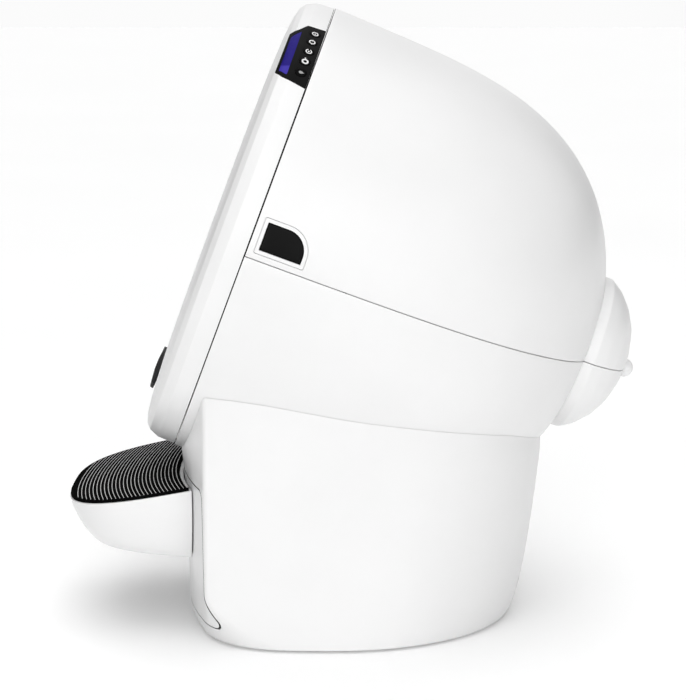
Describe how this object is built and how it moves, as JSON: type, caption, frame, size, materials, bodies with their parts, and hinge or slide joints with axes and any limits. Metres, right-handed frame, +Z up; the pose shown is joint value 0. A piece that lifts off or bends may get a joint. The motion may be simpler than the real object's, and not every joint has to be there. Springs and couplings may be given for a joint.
{
  "type": "self-cleaning hooded cat litter box",
  "caption": "Hooded cat litter box with a tilted rotating globe, fixed entry bezel, lift-up bonnet, waste drawer under the globe and a ribbed front step.",
  "frame": {"origin": "on the floor, under the middle of the bounding box", "axes": "+Z up, -Y towards the front, where the entry and the step are; +X is the side with the control panel, on the right of someone who stands in front and looks at the entry"},
  "size_m": [0.5986, 0.7019, 0.7504],
  "materials": {
    "white_shell": "satin moulded plastic",
    "black_panel": "satin black plastic",
    "display": "lit indigo liquid crystal behind a clear window",
    "button_grey": "black plastic keys with pale icons",
    "circuit_board": "green solder mask",
    "black_rubber": "matt moulded rubber",
    "grey_plastic": "grey moulded plastic",
    "globe_plastic": "light grey moulded plastic",
    "dark_plastic": "dark moulded plastic",
    "steel": "turned steel",
    "carbon": "carbon felt"
  },
  "bodies": {
    "base": {"pedestal": "white_shell", "lower_housing": "white_shell", "lower_hub_cover": "white_shell", "bezel": "white_shell", "control_fascia": "black_panel", "display_window": "display", "button_board": "circuit_board", "entry_guard": "black_rubber", "entry_seal": "black_rubber", "gearbox": "grey_plastic", "motor": "steel", "roller_bracket_right": "grey_plastic", "roller_bracket_left": "grey_plastic", "axle_bearing_block": "grey_plastic", "position_sensor": "dark_plastic", "power_inlet": "dark_plastic", "foot_front_right": "black_rubber", "foot_front_left": "black_rubber", "foot_rear_right": "black_rubber", "foot_rear_left": "black_rubber", "drawer_rail_right": "grey_plastic", "drawer_rail_left": "grey_plastic", "main_board": "circuit_board", "weight_sensor": "steel", "carbon_filter": "carbon"},
    "globe": {"globe_front_shell": "globe_plastic", "globe_rear_shell": "globe_plastic", "litter_liner": "black_rubber", "sifting_screen": "grey_plastic", "ring_gear": "dark_plastic", "globe_axle": "steel", "axle_end_cap": "white_shell", "position_magnet": "steel"},
    "pinion": {"pinion": "steel"},
    "roller_right": {"roller_right": "black_rubber"},
    "roller_left": {"roller_left": "black_rubber"},
    "bonnet": {"bonnet_shell": "white_shell", "bonnet_hub_cover": "white_shell"},
    "release_tab_right": {"release_tab_right": "black_panel"},
    "release_tab_left": {"release_tab_left": "black_panel"},
    "drawer": {"drawer_tray": "dark_plastic", "drawer_front": "white_shell", "step_hull": "white_shell", "step_mat": "black_rubber"},
    "button_1": {"button_1": "button_grey"},
    "button_2": {"button_2": "button_grey"},
    "button_3": {"button_3": "button_grey"},
    "button_4": {"button_4": "button_grey"},
    "button_5": {"button_5": "button_grey"}
  },
  "joints": [
    {"name": "globe_spin", "type": "hinge", "parent": "base", "child": "globe", "pos_m": [0, 0.06413, 0.40346], "axis": [0, 0.9367, -0.3502], "continuous": true},
    {"name": "pinion_spin", "type": "hinge", "parent": "base", "child": "pinion", "pos_m": [-0.18057, -0.09642, 0.21674], "axis": [0, 0.9367, -0.3502], "continuous": true},
    {"name": "roller_right_spin", "type": "hinge", "parent": "base", "child": "roller_right", "pos_m": [0.14993, -0.12419, 0.24528], "axis": [0, 0.9367, -0.3502], "continuous": true},
    {"name": "roller_left_spin", "type": "hinge", "parent": "base", "child": "roller_left", "pos_m": [-0.14993, -0.12419, 0.24528], "axis": [0, 0.9367, -0.3502], "continuous": true},
    {"name": "bonnet_hinge", "type": "hinge", "parent": "base", "child": "bonnet", "pos_m": [0, 0.33952, 0.3005], "axis": [-1, 0, 0], "range_deg": [0, 65]},
    {"name": "tab_right_press", "type": "slide", "parent": "bonnet", "child": "release_tab_right", "axis": [-1, 0, 0], "range_m": [0, 0.0035], "stiffness_N_per_m": 1200, "springref_m": -0.001},
    {"name": "tab_left_press", "type": "slide", "parent": "bonnet", "child": "release_tab_left", "axis": [1, 0, 0], "range_m": [0, 0.0035], "stiffness_N_per_m": 1200, "springref_m": -0.001},
    {"name": "button_1_press", "type": "slide", "parent": "base", "child": "button_1", "axis": [-0.4924, -0.3048, -0.8152], "range_m": [0, 0.0015], "stiffness_N_per_m": 600, "springref_m": -0.0008},
    {"name": "button_2_press", "type": "slide", "parent": "base", "child": "button_2", "axis": [-0.549, -0.2927, -0.7829], "range_m": [0, 0.0015], "stiffness_N_per_m": 600, "springref_m": -0.0008},
    {"name": "button_3_press", "type": "slide", "parent": "base", "child": "button_3", "axis": [-0.6046, -0.279, -0.7461], "range_m": [0, 0.0015], "stiffness_N_per_m": 600, "springref_m": -0.0008},
    {"name": "button_4_press", "type": "slide", "parent": "base", "child": "button_4", "axis": [-0.6561, -0.2643, -0.7069], "range_m": [0, 0.0015], "stiffness_N_per_m": 600, "springref_m": -0.0008},
    {"name": "button_5_press", "type": "slide", "parent": "base", "child": "button_5", "axis": [-0.7046, -0.2485, -0.6646], "range_m": [0, 0.0015], "stiffness_N_per_m": 600, "springref_m": -0.0008},
    {"name": "drawer_slide", "type": "slide", "parent": "base", "child": "drawer", "axis": [0, -1, 0], "range_m": [0, 0.3]}
  ],
  "couplings": [
    {"joint": "pinion_spin", "follows": "globe_spin", "ratio": -8},
    {"joint": "roller_right_spin", "follows": "globe_spin", "ratio": -20.732},
    {"joint": "roller_left_spin", "follows": "globe_spin", "ratio": -20.732}
  ]
}
